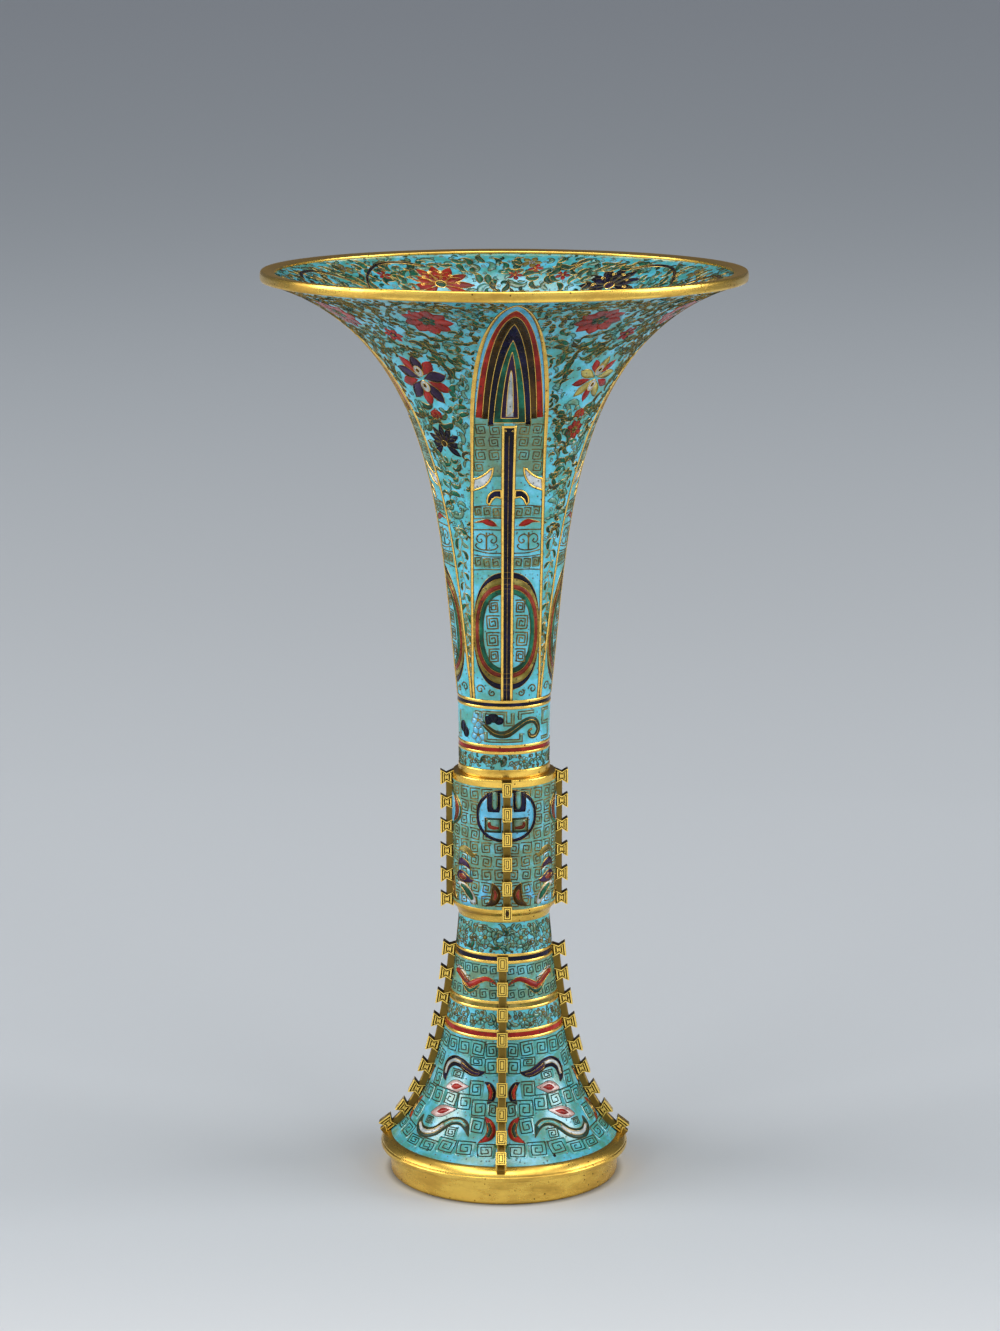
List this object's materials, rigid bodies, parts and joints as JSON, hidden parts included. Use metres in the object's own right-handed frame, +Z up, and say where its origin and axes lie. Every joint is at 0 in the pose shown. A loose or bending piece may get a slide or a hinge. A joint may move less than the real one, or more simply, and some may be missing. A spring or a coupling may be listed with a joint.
{
  "type": "gu vessel",
  "caption": "Tall trumpet-mouthed gu vase: enamelled copper walls on a drum knop and flared foot, with gilt bronze rim, fillets, base and notched flanges.",
  "frame": {"origin": "centre of the base ring's underside", "axes": "+Z up along the vessel's axis, -Y towards the viewer, +X to the viewer's right"},
  "size_m": [0.1502, 0.1502, 0.29],
  "materials": {
    "gilt_bronze": "polished gilding, rubbed and pitted",
    "copper": "plain hammered copper, dulled",
    "turquoise_enamel": "polished enamel with gilt wire cells",
    "navy_enamel": "polished enamel",
    "red_enamel": "polished enamel",
    "ochre_enamel": "polished enamel"
  },
  "bodies": {
    "root": {"base_ring": "gilt_bronze", "foot_blue_enamel": "navy_enamel", "foot_blue_fillets": "gilt_bronze", "foot_flange_back": "gilt_bronze", "foot_flange_front": "gilt_bronze", "foot_flange_left": "gilt_bronze", "foot_flange_pins": "gilt_bronze", "foot_flange_right": "gilt_bronze", "foot_lotus_enamel": "turquoise_enamel", "foot_mask_enamel": "turquoise_enamel", "foot_moulding": "gilt_bronze", "foot_ochre_enamel": "ochre_enamel", "foot_ochre_fillets": "gilt_bronze", "foot_red_enamel": "red_enamel", "foot_red_fillets": "gilt_bronze", "foot_small_mask_enamel": "turquoise_enamel", "foot_wall": "copper", "knop_enamel": "turquoise_enamel", "knop_flange_back": "gilt_bronze", "knop_flange_front": "gilt_bronze", "knop_flange_left": "gilt_bronze", "knop_flange_pins": "gilt_bronze", "knop_flange_right": "gilt_bronze", "knop_floor": "copper", "knop_ring": "gilt_bronze", "knop_shoulder": "gilt_bronze", "knop_wall": "copper", "mouth_lining": "turquoise_enamel", "mouth_lining_fillet": "gilt_bronze", "mouth_rim": "gilt_bronze", "neck_blue_enamel": "navy_enamel", "neck_blue_fillets": "gilt_bronze", "neck_collar": "gilt_bronze", "neck_lotus_enamel": "turquoise_enamel", "neck_red_enamel": "red_enamel", "neck_red_fillets": "gilt_bronze", "neck_scroll_enamel": "turquoise_enamel", "stem_lotus_enamel": "turquoise_enamel", "trumpet_enamel": "turquoise_enamel", "trumpet_wall": "copper"}
  },
  "joints": []
}
